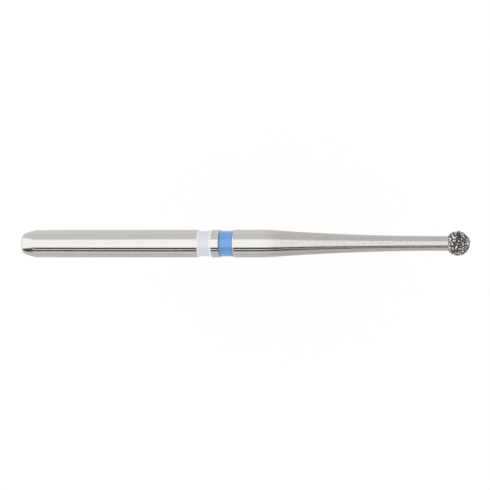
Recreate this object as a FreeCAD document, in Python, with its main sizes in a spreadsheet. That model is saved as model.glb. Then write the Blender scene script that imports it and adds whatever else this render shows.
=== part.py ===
import FreeCAD, Part
import Sketcher
import math
import os

# Ball-headed diamond bur with a friction-grip shank.
# It lies along X: the flat end face of the shank is at the origin and the head points to +X.

doc = FreeCAD.newDocument("dental_bur")

# Driving dimensions, in millimetres, apart from the one ratio at the end
SIZES = [
    ("shank_dia", 1.60, "full diameter of the shank"),
    ("shank_length", 14.00, "end face to the start of the neck's taper"),
    ("lead_in_length", 0.85, "crowned lead-in behind the end face, along the axis"),
    ("lead_in_depth", 0.26, "how far the lead-in drops below the shank, on the radius"),
    ("lead_in_crown", 3.30, "radius of the lead-in's crowned line"),
    ("end_corner", 0.20, "rounding where the lead-in meets the end face"),
    ("groove_depth", 0.16, "depth of both band grooves"),
    ("groove_wall_run", 0.10, "length along the axis of a steep groove wall"),
    ("blue_bevel_run", 0.40, "length along the axis of the blue groove's gentle wall"),
    ("white_width", 0.80, "width of the white band's groove at the surface"),
    ("blue_width", 0.90, "width of the blue band's groove at the surface"),
    ("band_gap", 0.435, "plain shank between the two grooves"),
    ("blue_to_neck", 1.435, "plain shank between the blue groove and the taper"),
    ("lacquer_drop", 0.05, "from the shank's surface down to the lacquer, where it meets the walls"),
    ("lacquer_dish", 0.012, "how far the lacquer's surface sinks between the walls"),
    ("taper_length", 10.50, "length of the taper from shank to slim neck"),
    ("shoulder_radius", 10.0, "convex arc that starts the taper"),
    ("neck_dia", 0.83, "slim end of the neck"),
    ("neck_straight", 0.83, "end of the taper to the centre of the head"),
    ("head_dia", 1.40, "ball head over its grains"),
    ("grain_proud", 0.05, "how far a grain of middle size stands out of the bond"),
    ("bond_floor", 0.012, "metal bond left between the deepest grain tip and the steel ball"),
    ("grain_size", 0.12, "middle size of a grain, across its square faces"),
    ("grain_pitch", 0.19, "distance from one grain to the next"),
    ("grain_spread", 0.15, "share by which grain sizes differ either way"),
]

sheet = doc.addObject("Spreadsheet::Sheet", "sizes")
for row, (alias, number, meaning) in enumerate(SIZES, start=1):
    sheet.set(f"A{row}", meaning)
    sheet.set(f"B{row}", str(number))
    sheet.setAlias(f"B{row}", alias)
doc.recompute()

# A grain's corners lie at one and one half of its half-width from its middle
CORNER_REACH = math.sqrt(1 + 0.5 ** 2)

# Places and radii that several pieces share, as expressions on the driving dimensions
SHANK_RADIUS = "sizes.shank_dia / 2"
NECK_RADIUS = "sizes.neck_dia / 2"
FOOT_RADIUS = f"{SHANK_RADIUS} - sizes.lead_in_depth"
TAPER_END = "sizes.shank_length + sizes.taper_length"
HEAD_CENTRE = f"{TAPER_END} + sizes.neck_straight"
BLUE_END = "sizes.shank_length - sizes.blue_to_neck"
BLUE_START = f"{BLUE_END} - sizes.blue_width"
WHITE_END = f"{BLUE_START} - sizes.band_gap"
WHITE_START = f"{WHITE_END} - sizes.white_width"
BOND_RADIUS = "sizes.head_dia / 2 - sizes.grain_proud"
SEAT_RADIUS = "sizes.head_dia / 2 - sizes.grain_size / 2"
GRAIN_REACH = f"sizes.grain_size / 2 * {CORNER_REACH} * (1 + sizes.grain_spread)"
CORE_RADIUS = f"{SEAT_RADIUS} - {GRAIN_REACH} - sizes.bond_floor"

# A band's groove: where it starts and ends at the surface, and the run of its two walls
BANDS = {
    "white": (WHITE_START, WHITE_END, "sizes.groove_wall_run", "sizes.groove_wall_run"),
    "blue": (BLUE_START, BLUE_END, "sizes.groove_wall_run", "sizes.blue_bevel_run"),
}

# A sketch counts the ends of an edge from one, and keeps its own origin on edge minus one
START, END = range(1, 3)
ORIGIN = -1
FULL_TURN = 360


def value(expression):
    return sheet.evalExpression(expression)


def point(x, y):
    return FreeCAD.Vector(x, y, 0)


def new_body(name):
    body = doc.addObject("PartDesign::Body", name)
    body.Label = name
    return body


def axial_sketch(body, name):
    # A sketch on the plane through the axis: its own X runs along the bur, its Y is the radius
    sketch = body.newObject("Sketcher::SketchObject", name)
    for plane in body.Origin.OriginFeatures:
        if plane.Role == "XZ_Plane":
            sketch.AttachmentSupport = [(plane, "")]
    sketch.MapMode = "FlatFace"
    return sketch


def bind(sketch, name, constraint, expression):
    index = sketch.addConstraint(constraint)
    sketch.renameConstraint(index, name)
    sketch.setExpression(f"Constraints.{name}", expression)


def bind_place(sketch, name, edge, end, along, radius):
    # Ties one end of an edge to its place along the axis and its radius
    bind(sketch, f"{name}_along",
         Sketcher.Constraint("DistanceX", ORIGIN, START, edge, end, value(along)), along)
    bind(sketch, f"{name}_radius",
         Sketcher.Constraint("DistanceY", ORIGIN, START, edge, end, value(radius)), radius)


def crown_arc(first, last, radius):
    # Arc from last round to first, bulging away from the axis
    half = (last - first) / 2
    inward = point(half.y, -half.x).normalize()
    centre = (first + last) / 2 + inward * math.sqrt(radius ** 2 - half.Length ** 2)
    from_angle = math.atan2(last.y - centre.y, last.x - centre.x)
    to_angle = math.atan2(first.y - centre.y, first.x - centre.x)
    circle = Part.Circle(centre, FreeCAD.Vector(0, 0, 1), radius)
    return Part.ArcOfCircle(circle, from_angle, to_angle)


def taper_arcs(start, end, convex):
    # Two arcs that leave start and reach end along the axis and meet without a corner
    length = end.x - start.x
    drop = start.y - end.y
    concave = (length ** 2 + drop ** 2) / (2 * drop) - convex
    lean = 2 * math.atan(drop / length)
    top = math.pi / 2
    bottom = 3 * math.pi / 2
    normal = FreeCAD.Vector(0, 0, 1)
    shoulder = Part.Circle(start - point(0, convex), normal, convex)
    hollow = Part.Circle(end + point(0, concave), normal, concave)
    return [
        Part.ArcOfCircle(shoulder, top - lean, top),
        Part.ArcOfCircle(hollow, bottom - lean, bottom),
    ]


def add_outline(sketch):
    # Half section of the turned blank, from the end face to the centre of the head
    foot = point(0, value(FOOT_RADIUS))
    lead_in_end = point(value("sizes.lead_in_length"), value(SHANK_RADIUS))
    taper_start = point(value("sizes.shank_length"), value(SHANK_RADIUS))
    taper_end = point(value(TAPER_END), value(NECK_RADIUS))
    neck_end = point(value(HEAD_CENTRE), value(NECK_RADIUS))
    crown = value("sizes.lead_in_crown")
    convex = value("sizes.shoulder_radius")
    edges = [
        Part.LineSegment(point(0, 0), foot),
        crown_arc(foot, lead_in_end, crown),
        Part.LineSegment(lead_in_end, taper_start),
        *taper_arcs(taper_start, taper_end, convex),
        Part.LineSegment(taper_end, neck_end),
        Part.LineSegment(neck_end, point(neck_end.x, 0)),
        Part.LineSegment(point(neck_end.x, 0), point(0, 0)),
    ]
    end_face, lead_in, shank, shoulder, hollow, neck, stop, axis = sketch.addGeometry(edges, False)
    sketch.addConstraint([
        Sketcher.Constraint("Coincident", end_face, START, ORIGIN, START),
        Sketcher.Constraint("Coincident", end_face, END, lead_in, END),
        Sketcher.Constraint("Coincident", lead_in, START, shank, START),
        Sketcher.Constraint("Horizontal", shank),
        Sketcher.Constraint("Tangent", shank, END, shoulder, END),
        Sketcher.Constraint("Tangent", shoulder, START, hollow, START),
        Sketcher.Constraint("Tangent", hollow, END, neck, START),
        Sketcher.Constraint("Coincident", neck, END, stop, START),
        Sketcher.Constraint("Coincident", stop, END, axis, START),
        Sketcher.Constraint("Coincident", axis, END, ORIGIN, START),
        Sketcher.Constraint("Horizontal", axis),
        Sketcher.Constraint("Vertical", end_face),
        Sketcher.Constraint("Vertical", stop),
        Sketcher.Constraint("Horizontal", neck),
    ])
    bind(sketch, "foot_radius",
         Sketcher.Constraint("DistanceY", ORIGIN, START, end_face, END, foot.y), FOOT_RADIUS)
    bind(sketch, "lead_in_crown",
         Sketcher.Constraint("Radius", lead_in, crown), "sizes.lead_in_crown")
    bind_place(sketch, "lead_in_end", shank, START, "sizes.lead_in_length", SHANK_RADIUS)
    bind(sketch, "taper_start",
         Sketcher.Constraint("DistanceX", ORIGIN, START, shank, END, taper_start.x),
         "sizes.shank_length")
    bind(sketch, "shoulder_radius",
         Sketcher.Constraint("Radius", shoulder, convex), "sizes.shoulder_radius")
    bind_place(sketch, "taper_end", neck, START, TAPER_END, NECK_RADIUS)
    bind(sketch, "head_centre",
         Sketcher.Constraint("DistanceX", ORIGIN, START, stop, END, neck_end.x), HEAD_CENTRE)


def wall_place(edge, run, depth):
    # Where a sloping groove wall is at a depth below the shank's surface
    return f"{edge} + {run} * {depth} / sizes.groove_depth"


def add_section(sketch, band, shallow, deep, dish=None):
    # Section between two depths below the shank's surface, with the groove's own walls
    start, end, first_run, last_run = band
    low = f"{SHANK_RADIUS} - {deep}"
    high = f"{SHANK_RADIUS} - {shallow}"
    low_left = (wall_place(start, first_run, deep), low)
    low_right = (wall_place(end, f"-1 * {last_run}", deep), low)
    high_left = (wall_place(start, first_run, shallow), high)
    high_right = (wall_place(end, f"-1 * {last_run}", shallow), high)
    corners = [low_left, low_right, high_right, high_left]
    floor_from, floor_to, top_to, top_from = [point(value(along), value(radius))
                                              for along, radius in corners]
    top_edge = Part.LineSegment(top_from, top_to)
    if dish:
        top_middle = (top_from + top_to) / 2 - point(0, value(dish))
        top_edge = Part.Arc(top_from, top_middle, top_to)
    edges = [
        Part.LineSegment(floor_from, floor_to),
        Part.LineSegment(floor_to, top_to),
        top_edge,
        Part.LineSegment(top_from, floor_from),
    ]
    floor, right_wall, top, left_wall = sketch.addGeometry(edges, False)
    sketch.addConstraint([
        Sketcher.Constraint("Coincident", floor, END, right_wall, START),
        Sketcher.Constraint("Coincident", right_wall, END, top, END),
        Sketcher.Constraint("Coincident", top, START, left_wall, START),
        Sketcher.Constraint("Coincident", left_wall, END, floor, START),
    ])
    bind_place(sketch, "low_left", floor, START, *low_left)
    bind_place(sketch, "low_right", floor, END, *low_right)
    bind_place(sketch, "high_right", right_wall, END, *high_right)
    bind_place(sketch, "high_left", left_wall, START, *high_left)
    if dish:
        half_width = f"({high_right[0]} - ({high_left[0]})) / 2"
        dish_radius = f"(({half_width}) ^ 2 + {dish} ^ 2) / (2 * {dish})"
        bind(sketch, "dish_radius",
             Sketcher.Constraint("Radius", top, value(dish_radius)), dish_radius)


def revolve(body, kind, name, sketch):
    # A full turn of the sketch about the bur's axis
    feature = body.newObject(kind, name)
    feature.Profile = sketch
    feature.ReferenceAxis = (sketch, ["H_Axis"])
    feature.Angle = FULL_TURN
    doc.recompute()
    return feature


def end_rim(shape):
    # The sharp circle where the lead-in meets the end face is the first one on the way to the head
    circles = [
        (edge.Curve.Center.x, f"Edge{number}")
        for number, edge in enumerate(shape.Edges, start=1)
        if isinstance(edge.Curve, Part.Circle)
    ]
    return min(circles)[1]


# Turned steel blank: shank, neck and the ball under the coat are one bar
steel_blank = new_body("steel_blank")
outline = axial_sketch(steel_blank, "blank_outline")
add_outline(outline)
turned_bar = revolve(steel_blank, "PartDesign::Revolution", "turned_bar", outline)

end_round = steel_blank.newObject("PartDesign::Fillet", "end_round")
end_round.Base = (turned_bar, [end_rim(turned_bar.Shape)])
end_round.setExpression("Radius", "sizes.end_corner")
doc.recompute()

core_ball = steel_blank.newObject("PartDesign::AdditiveSphere", "core_ball")
core_ball.setExpression("Radius", CORE_RADIUS)
core_ball.setExpression("Placement.Base.x", HEAD_CENTRE)
doc.recompute()

for colour, band in BANDS.items():
    cut_section = axial_sketch(steel_blank, f"{colour}_groove_section")
    add_section(cut_section, band, "-1 * sizes.groove_depth", "sizes.groove_depth")
    before = steel_blank.Shape.Volume
    revolve(steel_blank, "PartDesign::Groove", f"{colour}_groove", cut_section)
    if steel_blank.Shape.Volume >= before:
        raise RuntimeError(f"the {colour} groove cuts nothing")

# Lacquer bands: each fills the lower part of its groove, and its surface set slightly hollow
rings = []
for colour, band in BANDS.items():
    ring = new_body(f"{colour}_ring")
    lacquer_section = axial_sketch(ring, f"{colour}_lacquer_section")
    add_section(lacquer_section, band, "sizes.lacquer_drop", "sizes.groove_depth",
                "sizes.lacquer_dish")
    revolve(ring, "PartDesign::Revolution", f"{colour}_lacquer", lacquer_section)
    rings.append(ring)

# Plated bond: a shell of nickel round the steel ball, open where the neck comes out
bond_ball = doc.addObject("Part::Sphere", "bond_ball")
bond_ball.Label = "bond_ball"
bond_ball.setExpression("Radius", BOND_RADIUS)
bond_ball.setExpression("Placement.Base.x", HEAD_CENTRE)

bond_shell = doc.addObject("Part::Cut", "bond_shell")
bond_shell.Label = "bond_shell"
bond_shell.Base = bond_ball
bond_shell.Tool = steel_blank
doc.recompute()

# Each grain turns and changes size by a fixed step from the one before, so no two neighbours match
GOLDEN_ANGLE = math.pi * (3 - math.sqrt(5))
TWIST_STEPS = (97.0, 61.0, 43.0)
SIZE_STEP = 2.4
# The uncut octahedron's tips lie this many half-widths out
TIP_REACH = 1.5


def crystal(across):
    # Blocky grain: an octahedron with its six tips cut off by a cube
    half = across / 2
    tip = TIP_REACH * half
    waist = [point(tip, 0), point(0, tip), point(-tip, 0), point(0, -tip)]
    faces = []
    for pole in (FreeCAD.Vector(0, 0, tip), FreeCAD.Vector(0, 0, -tip)):
        for near, far in zip(waist, waist[1:] + waist[:1]):
            faces.append(Part.Face(Part.makePolygon([pole, near, far, pole])))
    octahedron = Part.makeSolid(Part.makeShell(faces))
    cube = Part.makeBox(across, across, across, FreeCAD.Vector(-half, -half, -half))
    return cube.common(octahedron)


def grain_crystals():
    # Grains on a golden-angle spiral from the tip of the head to its neck side
    seat_radius = value(SEAT_RADIUS)
    clear_of_neck = value(f"{NECK_RADIUS} + {GRAIN_REACH}")
    cell_area = value("sizes.grain_pitch") ** 2 * math.sin(math.pi / 3)
    count = round(4 * math.pi * seat_radius ** 2 / cell_area)
    head_centre = point(value(HEAD_CENTRE), 0)
    unit_grain = crystal(1.0)
    grains = []
    for k in range(count):
        along = 1 - (2 * k + 1) / count
        out = math.sqrt(1 - along ** 2)
        if along < 0 and seat_radius * out < clear_of_neck:
            continue
        angle = k * GOLDEN_ANGLE
        direction = FreeCAD.Vector(along, out * math.cos(angle), out * math.sin(angle))
        spread = 1 + value("sizes.grain_spread") * math.sin(k * SIZE_STEP)
        grain = unit_grain.copy()
        grain.scale(value("sizes.grain_size") * spread)
        twist = FreeCAD.Rotation(*[k * step for step in TWIST_STEPS])
        grain.Placement = FreeCAD.Placement(head_centre + direction * seat_radius, twist)
        grains.append(grain)
    return grains


# Diamond coat: the bond with its grains seated in it
crystals = grain_crystals()
grain_layer = doc.addObject("Part::Feature", "grain_layer")
grain_layer.Label = "grain_layer"
grain_layer.Shape = crystals[0].multiFuse(crystals[1:])

diamond_coat = doc.addObject("Part::Fuse", "diamond_coat")
diamond_coat.Label = "diamond_coat"
diamond_coat.Base = bond_shell
diamond_coat.Tool = grain_layer
diamond_coat.Refine = False
doc.recompute()

# Every object is sound before any file is written
for item in doc.Objects:
    if "Invalid" in item.State or "Error" in item.State:
        raise RuntimeError(f"{item.Label} failed: {item.State}")

pieces = [steel_blank, *rings, diamond_coat]
for piece in pieces:
    if piece.Shape.isNull() or not piece.Shape.isValid() or len(piece.Shape.Solids) != 1:
        raise RuntimeError(f"{piece.Label} is not one valid solid")

os.makedirs("parts", exist_ok=True)
for piece in pieces:
    piece.Shape.exportStep(f"parts/{piece.Label}.step")
    box = piece.Shape.optimalBoundingBox()
    print(f"{piece.Label}: {piece.Shape.Volume:.4f} mm3, X {box.XMin:.3f} to {box.XMax:.3f}, "
          f"widest {box.YLength:.3f}")
print(f"grains in the coat: {len(crystals)}")
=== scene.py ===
import math
import random

import bmesh
import bpy
from mathutils import Euler, Matrix, Vector, noise


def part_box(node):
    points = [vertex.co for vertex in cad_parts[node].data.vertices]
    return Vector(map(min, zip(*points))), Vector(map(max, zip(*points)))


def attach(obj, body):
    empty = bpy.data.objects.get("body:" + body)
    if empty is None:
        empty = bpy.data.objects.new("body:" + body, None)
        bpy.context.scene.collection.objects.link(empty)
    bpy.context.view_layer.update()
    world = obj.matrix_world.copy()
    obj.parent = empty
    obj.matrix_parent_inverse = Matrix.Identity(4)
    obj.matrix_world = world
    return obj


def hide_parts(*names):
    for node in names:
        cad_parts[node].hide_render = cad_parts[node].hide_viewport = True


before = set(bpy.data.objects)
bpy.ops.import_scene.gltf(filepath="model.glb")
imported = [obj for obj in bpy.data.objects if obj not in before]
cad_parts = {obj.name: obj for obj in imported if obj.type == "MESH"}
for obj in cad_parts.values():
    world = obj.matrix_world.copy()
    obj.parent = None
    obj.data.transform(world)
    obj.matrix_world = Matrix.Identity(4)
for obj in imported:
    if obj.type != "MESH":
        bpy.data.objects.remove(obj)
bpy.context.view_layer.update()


# Steel blank: one bar of hardened stainless steel holds the shank, both band grooves, the neck and the
# ball under the grit. It is turned and ground, and the shank is then polished, so that the shank mirrors
# the room while the neck keeps its fine grinding marks.

# Shapes are drawn in millimetres, as on a maker's drawing, and each finished one is scaled to metres
MM = 0.001
PER_MM = 1 / MM


def box_in_mm(node):
    low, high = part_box(node)
    return low * PER_MM, high * PER_MM


blank_high = box_in_mm("steel_blank")[1]
white_low, white_high = box_in_mm("white_ring")
blue_low, blue_high = box_in_mm("blue_ring")
coat_low, coat_high = box_in_mm("diamond_coat")

shank_radius = blank_high.z
shank_length = 14.0
lead_in_length = 0.85
lead_in_depth = 0.26
lead_in_crown = 3.3
end_corner = 0.2
taper_end = 24.5
neck_radius = 0.415
shoulder_bend = 10.0
head_radius = (coat_high.y - coat_low.y) / 2
head_centre = coat_high.x - head_radius
core_radius = blank_high.x - head_centre

# A groove's wall runs this far along the bur for each millimetre of its depth, and its rim is rounded
# into a short plain stretch of shank
steep_wall = 0.625
gentle_wall = 2.5
groove_depth = 0.16
groove_floor = shank_radius - groove_depth
rim_rounding = 0.012
plain_rim = 0.1
lacquer_drop = shank_radius - white_high.z
white_groove = (white_low.x - steep_wall * lacquer_drop, white_high.x + steep_wall * lacquer_drop)
blue_groove = (blue_low.x - steep_wall * lacquer_drop, blue_high.x + gentle_wall * lacquer_drop)
turned_steps = 256


def line_to(outline, start, along, radius):
    # A straight stretch of an outline, to a place along the axis and a radius
    end = outline.verts.new((along, 0, radius))
    outline.edges.new((start, end))
    return end


def arc_centre(start, end, bend):
    # Where an arc of radius bend has its centre. A positive bend bulges away from the axis, and a
    # negative one is hollow.
    chord = end - start
    towards_axis = Vector((chord.z, 0, -chord.x)).normalized()
    rise = math.sqrt(bend ** 2 - (chord.length / 2) ** 2)
    return (start + end) / 2 + towards_axis * math.copysign(rise, bend)


def arc_to(outline, start, along, radius, bend, steps):
    end = Vector((along, 0, radius))
    centre = arc_centre(start.co, end, bend)
    angle = 2 * math.asin((end - start.co).length / 2 / bend)
    swept = bmesh.ops.spin(outline, geom=[start], cent=centre, axis=(0, 1, 0), angle=angle, steps=steps)
    return swept["geom_last"][0]


def round_corners(outline, corners, size):
    bmesh.ops.bevel(outline, geom=corners, offset=size, offset_type="OFFSET", segments=4, profile=0.5,
                    affect="VERTICES", material=-1)


def turn(outline, steps):
    # A full turn of the outline about the bur's axis, closed at its poles and where the turn ends
    seam = 1e-5
    bmesh.ops.spin(outline, geom=outline.verts[:] + outline.edges[:], cent=(0, 0, 0), axis=(1, 0, 0),
                   angle=math.tau, steps=steps, use_merge=True)
    bmesh.ops.remove_doubles(outline, verts=outline.verts[:], dist=seam)
    bmesh.ops.recalc_face_normals(outline, faces=outline.faces[:])


def finish_piece(shape, name, material, smooth=True):
    # Scales the shape to metres and makes it an object at the origin
    sharp_edge = math.radians(35)
    bmesh.ops.scale(shape, vec=(MM, MM, MM), verts=shape.verts[:])
    mesh = bpy.data.meshes.new(name)
    shape.to_mesh(mesh)
    shape.free()
    mesh.materials.append(material)
    if smooth:
        mesh.shade_smooth()
        mesh.set_sharp_from_angle(angle=sharp_edge)
    piece = bpy.data.objects.new(name, mesh)
    bpy.context.scene.collection.objects.link(piece)
    return piece


# The end face's rounded corner lies inside the crowned line of the lead-in and touches it
blank = bmesh.new()
foot = Vector((0, 0, shank_radius - lead_in_depth))
lead_in_end = Vector((lead_in_length, 0, shank_radius))
crown_centre = arc_centre(foot, lead_in_end, lead_in_crown)
corner_rise = math.sqrt((lead_in_crown - end_corner) ** 2 - (end_corner - crown_centre.x) ** 2)
corner_centre = Vector((end_corner, 0, crown_centre.z + corner_rise))
corner_end = crown_centre + (corner_centre - crown_centre).normalized() * lead_in_crown

outline_end = line_to(blank, blank.verts.new((0, 0, 0)), 0, corner_centre.z)
outline_end = arc_to(blank, outline_end, corner_end.x, corner_end.z, end_corner, steps=8)
outline_end = arc_to(blank, outline_end, lead_in_length, shank_radius, lead_in_crown, steps=12)
for (first, last), last_wall in ((white_groove, steep_wall), (blue_groove, gentle_wall)):
    first_rim = line_to(blank, outline_end, first, shank_radius)
    floor_start = line_to(blank, first_rim, first + steep_wall * groove_depth, groove_floor)
    floor_end = line_to(blank, floor_start, last - last_wall * groove_depth, groove_floor)
    last_rim = line_to(blank, floor_end, last, shank_radius)
    outline_end = line_to(blank, last_rim, last + plain_rim, shank_radius)
    round_corners(blank, [first_rim, last_rim], rim_rounding)

# The taper is a short convex shoulder and a long hollow, which meet each other, the shank and the neck
# without a step
taper_run = taper_end - shank_length
taper_drop = shank_radius - neck_radius
hollow_bend = (taper_run ** 2 + taper_drop ** 2) / (2 * taper_drop) - shoulder_bend
lean = 2 * math.atan(taper_drop / taper_run)
shoulder_end = shank_length + shoulder_bend * math.sin(lean)
shoulder_foot = shank_radius - shoulder_bend * (1 - math.cos(lean))
core_start = head_centre - math.sqrt(core_radius ** 2 - neck_radius ** 2)
outline_end = line_to(blank, outline_end, shank_length, shank_radius)
outline_end = arc_to(blank, outline_end, shoulder_end, shoulder_foot, shoulder_bend, steps=10)
outline_end = arc_to(blank, outline_end, taper_end, neck_radius, -hollow_bend, steps=40)
outline_end = line_to(blank, outline_end, core_start, neck_radius)
arc_to(blank, outline_end, head_centre + core_radius, 0, core_radius, steps=24)
turn(blank, turned_steps)


def hex_colour(code):
    # An sRGB hex colour as the linear values that a shader takes
    linear = []
    for place in (1, 3, 5):
        share = int(code[place:place + 2], 16) / 255
        linear.append(share / 12.92 if share <= 0.04045 else ((share + 0.055) / 1.055) ** 2.4)
    return (*linear, 1.0)


def new_material(name):
    material = bpy.data.materials.new(name)
    material.use_nodes = True
    material.node_tree.nodes.clear()
    return material, material.node_tree


def add_node(tree, kind, settings=None, **inputs):
    # Adds a node. An input is called by its socket's name, or _0, _1 and so on for its socket's place,
    # and is a number, a colour or the output socket of another node.
    node = tree.nodes.new(kind)
    for field, value in (settings or {}).items():
        setattr(node, field, value)
    for name, value in inputs.items():
        place = name.removeprefix("_")
        socket = node.inputs[int(place) if place.isdigit() else name.replace("_", " ")]
        if isinstance(value, bpy.types.NodeSocket):
            tree.links.new(value, socket)
        else:
            socket.default_value = value
    return node


def flecks(tree, place, length, width, detail):
    # An uneven pattern whose flecks are so many millimetres long, along the bur, and wide, across it
    drawn_out = add_node(tree, "ShaderNodeMapping", Vector=place,
                         Scale=(PER_MM / length, PER_MM / width, PER_MM / width)).outputs["Vector"]
    return add_node(tree, "ShaderNodeTexNoise", Vector=drawn_out, Scale=1.0, Detail=detail).outputs["Fac"]


# Stainless steel, polished on the shank and ground on the neck: a neutral mirror on the one, a little
# darker and blurred along fine marks on the other. Real grinding marks are finer than a picture of the
# whole bur can show, so each pattern is as coarse as it needs to be to show.
polished_tone = "#C1C0BE"
ground_tones = ("#9F9D9B", "#C4C2C0")
edge_tint = "#F1F1F1"
polished_roughness = 0.11
ground_roughness = 0.22
polish_end = shank_length
marks_full = shank_length + 1.5
blur_full = shank_length + 5
streak_height = 0.004
ring_height = 0.002

stainless, tree = new_material("polished_and_ground_stainless_steel")
place = add_node(tree, "ShaderNodeTexCoord").outputs["Object"]
along = add_node(tree, "ShaderNodeSeparateXYZ", Vector=place).outputs["X"]
ground = add_node(tree, "ShaderNodeMapRange", {"interpolation_type": "SMOOTHSTEP"}, Value=along,
                  From_Min=polish_end * MM, From_Max=marks_full * MM).outputs["Result"]
roughness = add_node(tree, "ShaderNodeMapRange", {"interpolation_type": "SMOOTHSTEP"}, Value=along,
                     From_Min=polish_end * MM, From_Max=blur_full * MM, To_Min=polished_roughness,
                     To_Max=ground_roughness).outputs["Result"]
# Grinding leaves a fine grain of lighter and darker specks
specks = flecks(tree, place, length=0.12, width=0.08, detail=2)
ground_tone = add_node(tree, "ShaderNodeMix", {"data_type": "RGBA"}, _0=specks,
                       _6=hex_colour(ground_tones[0]), _7=hex_colour(ground_tones[1])).outputs[2]
colour = add_node(tree, "ShaderNodeMix", {"data_type": "RGBA"}, _0=ground, _6=hex_colour(polished_tone),
                  _7=ground_tone).outputs[2]
# Streaks run along the bur, faint on the shank and plain on the neck
streaks = flecks(tree, place, length=0.8, width=0.08, detail=3)
streak_depth = add_node(tree, "ShaderNodeMapRange", Value=ground, To_Min=0.03,
                        To_Max=0.4).outputs["Result"]
streaked = add_node(tree, "ShaderNodeBump", Height=streaks, Strength=streak_depth,
                    Distance=streak_height * MM).outputs["Normal"]
# The wheel also leaves rings round the neck, 0.1 mm apart
rings = flecks(tree, place, length=0.1, width=0.8, detail=2)
ring_depth = add_node(tree, "ShaderNodeMapRange", Value=ground, To_Min=0.02,
                      To_Max=0.35).outputs["Result"]
marks = add_node(tree, "ShaderNodeBump", Height=rings, Strength=ring_depth, Distance=ring_height * MM,
                 Normal=streaked).outputs["Normal"]
shader = add_node(tree, "ShaderNodeBsdfPrincipled", Base_Color=colour, Metallic=1.0, Roughness=roughness,
                  Specular_Tint=hex_colour(edge_tint), Normal=marks)
add_node(tree, "ShaderNodeOutputMaterial", Surface=shader.outputs["BSDF"])

turned_blank = finish_piece(blank, "turned_steel_blank", stainless)
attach(turned_blank, "root")
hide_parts("steel_blank")


# White band: glossy lacquer run into the groove nearer the shank's end. It was brushed on wet while the
# bur turned, so it climbs both walls in a thin film and its surface set slightly hollow.
def lacquer_outline(groove, walls, first_side, last_side):
    # Half section of a band. Each side lists corners from the wall to the band's surface, as the distance
    # from the groove's rim, the drop below the shank and how far the corner is rounded.
    surface_dish = 0.012
    first, last = groove
    first_wall, last_wall = walls
    rising = [(first + offset, shank_radius - drop, rounding) for offset, drop, rounding in first_side]
    falling = [(last - offset, shank_radius - drop, rounding) for offset, drop, rounding in last_side]
    falling.reverse()
    outline = bmesh.new()
    floor_start = outline.verts.new((first + first_wall * groove_depth, 0, groove_floor))
    corner = floor_start
    corners = []
    for along, radius, rounding in rising:
        corner = line_to(outline, corner, along, radius)
        corners.append((corner, rounding))
    along, radius, rounding = falling[0]
    half_width = (Vector((along, 0, radius)) - corner.co).length / 2
    bend = (half_width ** 2 + surface_dish ** 2) / (2 * surface_dish)
    corner = arc_to(outline, corner, along, radius, -bend, steps=6)
    corners.append((corner, rounding))
    for along, radius, rounding in falling[1:]:
        corner = line_to(outline, corner, along, radius)
        corners.append((corner, rounding))
    floor_end = line_to(outline, corner, last - last_wall * groove_depth, groove_floor)
    outline.edges.new((floor_end, floor_start))
    for corner, rounding in corners:
        if rounding:
            round_corners(outline, [corner], rounding)
    return outline


def lacquer(name, pigments, painted_edge_light_and_shade, band, varnish):
    # Glossy lacquer: clear varnish over an opaque pigment, with a faint brushed unevenness. Along both
    # edges of the band, where it drew up the walls, the colour turns to a painted edge tone: painted
    # light and shade for what the walls catch, lighter on the white band and darker on the blue one
    edge_start = 0.09
    edge_full = 0.03
    brushed_height = 0.006
    material, tree = new_material(name)
    place = add_node(tree, "ShaderNodeTexCoord").outputs["Object"]
    along = add_node(tree, "ShaderNodeSeparateXYZ", Vector=place).outputs["X"]
    offset = add_node(tree, "ShaderNodeMath", {"operation": "SUBTRACT"}, _0=along,
                      _1=(band[0] + band[1]) / 2 * MM).outputs["Value"]
    from_middle = add_node(tree, "ShaderNodeMath", {"operation": "ABSOLUTE"}, _0=offset).outputs["Value"]
    half_width = (band[1] - band[0]) / 2
    # Mask of the painted edge tone, which is painted light and shade near the band's edges
    painted_edge_mask = add_node(tree, "ShaderNodeMapRange", {"interpolation_type": "SMOOTHSTEP"}, Value=from_middle,
                    From_Min=(half_width - edge_start) * MM,
                    From_Max=(half_width - edge_full) * MM).outputs["Result"]
    flow = flecks(tree, place, length=0.3, width=0.5, detail=2)
    thin, thick = pigments
    body = add_node(tree, "ShaderNodeMix", {"data_type": "RGBA"}, _0=flow, _6=hex_colour(thin),
                    _7=hex_colour(thick)).outputs[2]
    colour = add_node(tree, "ShaderNodeMix", {"data_type": "RGBA"}, _0=painted_edge_mask, _6=body,
                      _7=hex_colour(painted_edge_light_and_shade)).outputs[2]
    uneven = add_node(tree, "ShaderNodeBump", Height=flow, Strength=0.3,
                      Distance=brushed_height * MM).outputs["Normal"]
    shader = add_node(tree, "ShaderNodeBsdfPrincipled", Base_Color=colour, Roughness=0.18, IOR=1.5,
                      Coat_Weight=varnish, Coat_Roughness=0.08, Coat_IOR=1.5, Normal=uneven)
    add_node(tree, "ShaderNodeOutputMaterial", Surface=shader.outputs["BSDF"])
    return material


# How thick the film on the walls is, and how far below the shank's surface it ends
film = 0.014
lip_drop = 0.004
white_side = ((steep_wall * lip_drop, lip_drop, 0), (steep_wall * lip_drop + film, lip_drop, film / 3),
              (steep_wall * lacquer_drop + film, lacquer_drop, film * 1.5))
white_outline = lacquer_outline(white_groove, (steep_wall, steep_wall), white_side, white_side)
turn(white_outline, turned_steps)
# Its edges are painted lighter, a painted highlight where the rounded rims of the film catch the light
white_lacquer = lacquer("glossy_white_lacquer", ("#CDD0D7", "#D4D7DE"), "#EEF0F3", white_groove,
                        varnish=0.2)
white_band = finish_piece(white_outline, "white_lacquer_band", white_lacquer)
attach(white_band, "root")
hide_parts("white_ring")


# Blue band: the same lacquer in blue in the other groove. It stands in a rounded bead against the steep
# wall and leaves the upper part of the gentle wall, on the head's side, bare.

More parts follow.
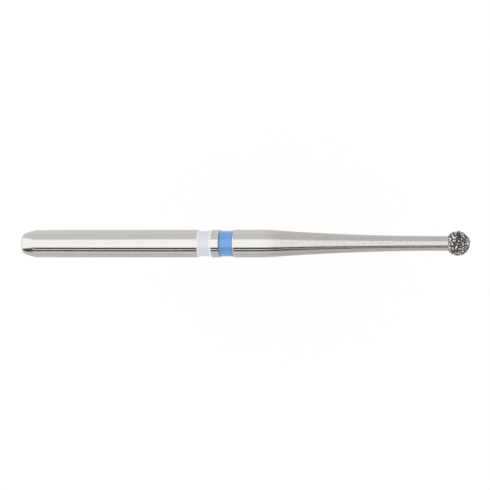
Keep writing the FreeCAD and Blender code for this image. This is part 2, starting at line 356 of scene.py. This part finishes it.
# The bead's top and end lie this far from the steep wall's rim, its top lies this far below the shank,
# and at the gentle wall the lacquer stands this much higher than the white does
bead_top = (0.064, 0.082)
bead_end = 0.125
bead_drop = 0.01
bead_rounding = 0.012
bead_end_rounding = 0.02
blue_rise = 0.02
blue_bead = ((steep_wall * lacquer_drop, lacquer_drop, 0), (bead_top[0], bead_drop, bead_rounding),
             (bead_top[1], bead_drop, bead_rounding), (bead_end, lacquer_drop, bead_end_rounding))
blue_foot = ((gentle_wall * (lacquer_drop - blue_rise), lacquer_drop - blue_rise, 0),)
blue_band_ends = (blue_low.x, blue_high.x + gentle_wall * blue_rise)
blue_outline = lacquer_outline(blue_groove, (steep_wall, gentle_wall), blue_bead, blue_foot)
turn(blue_outline, turned_steps)
# Its edges are painted darker, a painted shade on the groove's walls
blue_lacquer = lacquer("glossy_blue_lacquer", ("#548DCB", "#5992D0"), "#477BB2", blue_band_ends,
                       varnish=1.0)
blue_band = finish_piece(blue_outline, "blue_lacquer_band", blue_lacquer)
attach(blue_band, "root")
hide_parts("blue_ring")


# Nickel bond: plated nickel that grew round the seated grains on the ball. It is a shell, open where
# the neck comes out, and its face is lumpy between the grains.
grain_proud = 0.06
bond_radius = head_radius - grain_proud
lump_size = 0.1
lump_height = 0.025
rim_margin = 1e-3
bond = bmesh.new()
neck_edge = head_centre - math.sqrt(bond_radius ** 2 - neck_radius ** 2)
outer_start = bond.verts.new((neck_edge, 0, neck_radius))
arc_to(bond, outer_start, head_centre + bond_radius, 0, bond_radius, steps=80)
inner_end = bond.verts.new((head_centre + core_radius, 0, 0))
inner_start = arc_to(bond, inner_end, core_start, neck_radius, -core_radius, steps=24)
bond.edges.new((inner_start, outer_start))
turn(bond, steps=160)
# Only the outer face is lumpy: the inside and the rim at the neck fit the steel
centre = Vector((head_centre, 0, 0))
for vert in bond.verts:
    out = vert.co - centre
    if out.length > bond_radius - rim_margin and vert.co.yz.length > neck_radius + rim_margin:
        vert.co += out.normalized() * lump_height * noise.noise(out / lump_size)

# Plated nickel, left as it grew, pitted and blotched. It is painted far darker than bare nickel, a
# painted shade for the gaps between the grains, so that the bright grains stand out from it. Real pits
# are finer, and these are as coarse as they need to be to show.
pit_width = 0.05
pit_depth = 0.01
nickel, tree = new_material("plated_nickel_bond")
place = add_node(tree, "ShaderNodeTexCoord").outputs["Object"]
pits = flecks(tree, place, length=pit_width, width=pit_width, detail=3)
colour = add_node(tree, "ShaderNodeMix", {"data_type": "RGBA"}, _0=pits, _6=hex_colour("#1E1E1D"),
                  _7=hex_colour("#5E5C58")).outputs[2]
pitted = add_node(tree, "ShaderNodeBump", Height=pits, Strength=0.6,
                  Distance=pit_depth * MM).outputs["Normal"]
shader = add_node(tree, "ShaderNodeBsdfPrincipled", Base_Color=colour, Metallic=1.0, Roughness=0.4,
                  Normal=pitted)
add_node(tree, "ShaderNodeOutputMaterial", Surface=shader.outputs["BSDF"])

nickel_bond = finish_piece(bond, "nickel_bond", nickel)
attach(nickel_bond, "root")
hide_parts("diamond_coat")


# Diamond grains: one layer of blocky cubo-octahedral crystals, all turned at random and half sunk in
# the nickel. Each is a cube with its corners cut off, stretched a little, with flat faces. They are as
# wide as the tips that the eye sees of larger grains.
# The spiral has this many places on a whole ball. Those at the neck stay empty, which leaves about 1,100
# grains.
spiral_places = 1300
grain_width = 0.072
width_spread = 0.3
corner_cut = 0.36
# A grain is off its place by up to this share of half a step along the bur, this angle round it and this
# much in or out
half_step_scatter = 0.5
angle_scatter = 0.09
seat_scatter = (-0.02, 0.018)
# No grain reaches further from the head's centre than the first of these, or nearer to the coat's front
# than the second
most_reach = head_radius + 0.015
front_clearance = 0.001
# A share of the crystal faces gets a bright painted glint and the rest a dark painted shade, each level
# from its range, nought dark and one bright
bright_share = 0.28
bright_glints = (0.72, 1)
dull_glints = (0, 0.1)
chance = random.Random(11)

crystal = bmesh.new()
bmesh.ops.create_cube(crystal, size=1.0)
bmesh.ops.bevel(crystal, geom=crystal.verts[:], offset=corner_cut, offset_type="OFFSET", segments=1,
                profile=0.5, affect="VERTICES", material=-1)
crystal_mesh = bpy.data.meshes.new("one_crystal")
crystal.to_mesh(crystal_mesh)
crystal.free()

# The grains sit along a golden-angle spiral round the ball, each a little off its place
golden_angle = math.pi * (3 - math.sqrt(5))
grains = bmesh.new()
glint = grains.faces.layers.float.new("glint")
for number in range(spiral_places):
    off_place = chance.uniform(-half_step_scatter, half_step_scatter)
    height = 1 - (2 * number + 1) / spiral_places + off_place / spiral_places
    angle = number * golden_angle + chance.uniform(-angle_scatter, angle_scatter)
    stretch = Vector([1 + chance.uniform(-width_spread, width_spread) for _ in range(3)]) * grain_width
    turned = Euler([chance.uniform(0, math.tau) for _ in range(3)]).to_matrix().to_4x4()
    seat = bond_radius + chance.uniform(*seat_scatter)
    ring = math.sqrt(max(0, 1 - height ** 2))
    if height < 0 and seat * ring < neck_radius + grain_width / 2:
        continue
    out = Vector((height, ring * math.cos(angle), ring * math.sin(angle)))
    first_vert, first_face = len(grains.verts), len(grains.faces)
    grains.from_mesh(crystal_mesh)
    new_verts = grains.verts[first_vert:]
    bmesh.ops.transform(grains, verts=new_verts, matrix=turned @ Matrix.Diagonal((*stretch, 1)))
    # A grain that would stand out too far, or past the head's front, is set deeper
    reach = max(vert.co.dot(out) for vert in new_verts)
    depth = min(seat, most_reach - reach)
    tip = head_centre + out.x * depth + max(vert.co.x for vert in new_verts)
    forward = min(0, coat_high.x - front_clearance - tip)
    bmesh.ops.translate(grains, verts=new_verts, vec=centre + out * depth + Vector((forward, 0, 0)))
    # Each face gets its painted level: bright for a painted glint, dark for painted shade
    for face in grains.faces[first_face:]:
        glints = bright_glints if chance.random() < bright_share else dull_glints
        face[glint] = chance.uniform(*glints)
bmesh.ops.recalc_face_normals(grains, faces=grains.faces[:])
bpy.data.meshes.remove(crystal_mesh)

# Synthetic diamond grit: clear crystals that flash light from a few faces and look dark in the others.
# An opaque grain can't bend light, so the flashes are painted: each face has a painted tone, a bright
# painted glint on a share of faces and a dark painted shade on the rest, and a part-metallic shine.
diamond, tree = new_material("synthetic_diamond_grit")
face_glint = add_node(tree, "ShaderNodeAttribute", {"attribute_name": "glint"}).outputs["Fac"]
colour = add_node(tree, "ShaderNodeMix", {"data_type": "RGBA"}, _0=face_glint, _6=hex_colour("#1A1A19"),
                  _7=hex_colour("#FFFCF6")).outputs[2]
shader = add_node(tree, "ShaderNodeBsdfPrincipled", Base_Color=colour, Metallic=0.7, Roughness=0.3)
add_node(tree, "ShaderNodeOutputMaterial", Surface=shader.outputs["BSDF"])

diamond_grains = finish_piece(grains, "diamond_grains", diamond, smooth=False)
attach(diamond_grains, "root")
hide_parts("diamond_coat")


# Studio: a pale floor below the bur, which is held and not lying on it, a white room, one wide softbox
# overhead and one at the shank's end, and black and grey cards, as a photographer sets up for polished
# metal.
def stage_plane(name, low, high, height, material):
    shape = bmesh.new()
    bmesh.ops.create_grid(shape, x_segments=1, y_segments=1, size=0.5)
    size = (high[0] - low[0], high[1] - low[1], 1)
    middle = ((low[0] + high[0]) / 2, (low[1] + high[1]) / 2, height)
    bmesh.ops.scale(shape, vec=size, verts=shape.verts[:])
    bmesh.ops.translate(shape, vec=middle, verts=shape.verts[:])
    plane = finish_piece(shape, name, material, smooth=False)
    return plane


def seen_directly(tree):
    # One for what the camera sees, straight or in metal or glass, and nought for what only lights the bur
    rays = add_node(tree, "ShaderNodeLightPath")
    seen = rays.outputs["Is Camera Ray"]
    for kind in ("Is Glossy Ray", "Is Transmission Ray"):
        seen = add_node(tree, "ShaderNodeMath", {"operation": "MAXIMUM"}, _0=seen,
                        _1=rays.outputs[kind]).outputs["Value"]
    return seen


# White studio paint, matt. To the camera and in reflections it also glows a little, and more so far away,
# so that the floor runs into the white room.
floor_height = -15.0
floor_reach = 4000.0
floor_tone = "#F3F3F3"
white = "#FFFFFF"
glow_start, glow_full = 50.0, 800.0
near_glow, far_glow = 0.035, 0.32
floor_paint, tree = new_material("white_studio_floor")
place = add_node(tree, "ShaderNodeTexCoord").outputs["Object"]
reach = add_node(tree, "ShaderNodeVectorMath", {"operation": "LENGTH"}, _0=place).outputs["Value"]
fading = add_node(tree, "ShaderNodeMapRange", Value=reach, From_Min=glow_start * MM,
                  From_Max=glow_full * MM, To_Min=near_glow, To_Max=far_glow).outputs["Result"]
lift = add_node(tree, "ShaderNodeMath", {"operation": "MULTIPLY"}, _0=seen_directly(tree),
                _1=fading).outputs["Value"]
matt = add_node(tree, "ShaderNodeBsdfDiffuse", Color=hex_colour(floor_tone)).outputs["BSDF"]
glow = add_node(tree, "ShaderNodeEmission", Color=hex_colour(white), Strength=lift).outputs["Emission"]
both = add_node(tree, "ShaderNodeAddShader", _0=matt, _1=glow).outputs["Shader"]
add_node(tree, "ShaderNodeOutputMaterial", Surface=both)
stage_plane("studio_floor", (-floor_reach, -floor_reach), (floor_reach, floor_reach), floor_height,
            floor_paint)

# The room is white to the camera and in reflections, and lights matt surfaces a little less
room_light = 0.75
world = bpy.data.worlds.new("white_room")
bpy.context.scene.world = world
world.use_nodes = True
tree = world.node_tree
tree.nodes.clear()
room_level = add_node(tree, "ShaderNodeMapRange", Value=seen_directly(tree), To_Min=room_light,
                      To_Max=1.0).outputs["Result"]
room = add_node(tree, "ShaderNodeBackground", Color=hex_colour(white), Strength=room_level)
add_node(tree, "ShaderNodeOutputWorld", Surface=room.outputs["Background"])


# The softboxes are as wide as the light stripe on the steel: their level adds to the room behind them.
# Each one's sides across the bur lie at two angles, as the bur sees them.
def softbox(name, along, height, turned, length, distance, near_angle, far_angle):
    level = 0.71
    near_side = -distance * math.tan(math.radians(near_angle))
    far_side = distance * math.tan(math.radians(far_angle))
    data = bpy.data.lights.new(name, "AREA")
    data.shape = "RECTANGLE"
    data.size = length * MM
    data.size_y = (far_side - near_side) * MM
    data.color = hex_colour("#FFF6F5")[:3]
    data.energy = level * math.pi * data.size * data.size_y
    light = bpy.data.objects.new(name, data)
    light.location = Vector((along, (near_side + far_side) / 2, height)) * MM
    light.rotation_euler = turned
    light.visible_camera = False
    bpy.context.scene.collection.objects.link(light)


overhead = 400.0
end_panel = -300.0
far_end = 500.0
softbox("overhead_softbox", (end_panel + far_end) / 2, overhead, (0, 0, 0), far_end - end_panel, overhead,
        near_angle=32.4, far_angle=34.8)
softbox("end_softbox", end_panel, (overhead + floor_height) / 2, (0, math.radians(-90), 0),
        overhead - floor_height, -end_panel, near_angle=36, far_angle=43)


# Card is matt paper, and only reflections show it. Two long black cards beside the overhead softbox draw
# the pair of dark lines along the steel, and a grey one between them dims the light between those lines
# on the neck.
def card_paper(name, tone):
    material, tree = new_material(name)
    matt = add_node(tree, "ShaderNodeBsdfDiffuse", Color=hex_colour(tone)).outputs["BSDF"]
    add_node(tree, "ShaderNodeOutputMaterial", Surface=matt)
    return material


black_card = card_paper("black_card", "#1A1A1A")
dark_card = card_paper("dark_card", "#616161")
grey_card = card_paper("grey_card", "#E7E7E7")
card_height = 120.0
card_end = 400.0
# Each has its sides across the bur at two angles from upright, its start along the bur, and its paper
long_cards = (("first_black_card", 33.3, 45.8, -97, black_card),
              ("middle_grey_card", 45.8, 55.8, 0, grey_card),
              ("second_black_card", 55.8, 68.0, -220, black_card))
cards = []
for name, near_angle, far_angle, start, paper in long_cards:
    near_side = -card_height * math.tan(math.radians(near_angle))
    far_side = -card_height * math.tan(math.radians(far_angle))
    cards.append(stage_plane(name, (start, far_side), (card_end, near_side), card_height, paper))

# A small card, cut to a slanting four-sided shape and stood on edge beside the shank's end, draws the
# dark patch on the lead-in
cut_corners = ((-2.2, -0.6), (-2.2, 9.5), (2.1, 4.0), (1.1, -0.9))
cut_card_place = Matrix.Translation((-7.1, -8.1, 0))
cut_card_stand = Euler([math.radians(angle) for angle in (90, 11, -41.3)]).to_matrix().to_4x4()
cut_card = bmesh.new()
cut_card.faces.new([cut_card.verts.new((*corner, 0)) for corner in cut_corners])
bmesh.ops.transform(cut_card, verts=cut_card.verts[:], matrix=cut_card_place @ cut_card_stand)
end_card = finish_piece(cut_card, "end_dark_card", dark_card, smooth=False)
cards.append(end_card)

# A grey card that lies just above the near part of the floor dims the steel's lower edge
floor_card_edge = -6.0
floor_card_lift = 0.1
cards.append(stage_plane("near_floor_card", (-floor_reach, -floor_reach), (floor_reach, floor_card_edge),
                         floor_height + floor_card_lift, grey_card))
for card in cards:
    card.visible_camera = False
    card.visible_diffuse = False
    card.visible_shadow = False


# Camera: it looks down on the bur from 150 mm, square to it but for a lean of 10 degrees towards the
# head's side and a very slight turn
looking_at = Vector((13.119, -0.082, 0)) * MM
camera_distance = 150 * MM
camera_lean = math.radians(10)
camera_turn = math.radians(-0.04)
closest_view = 5 * MM
focal_pixels = 2616
picture_pixels = 490
sensor_width = 36
camera_data = bpy.data.cameras.new("camera")
camera_data.sensor_width = sensor_width
camera_data.lens = focal_pixels * sensor_width / picture_pixels
camera_data.clip_start = closest_view
camera = bpy.data.objects.new("camera", camera_data)
camera.rotation_euler = (0, camera_lean, camera_turn)
camera.location = looking_at + camera.rotation_euler.to_matrix() @ Vector((0, 0, camera_distance))
bpy.context.scene.collection.objects.link(camera)
bpy.context.scene.camera = camera
bpy.context.scene.view_settings.view_transform = "Standard"
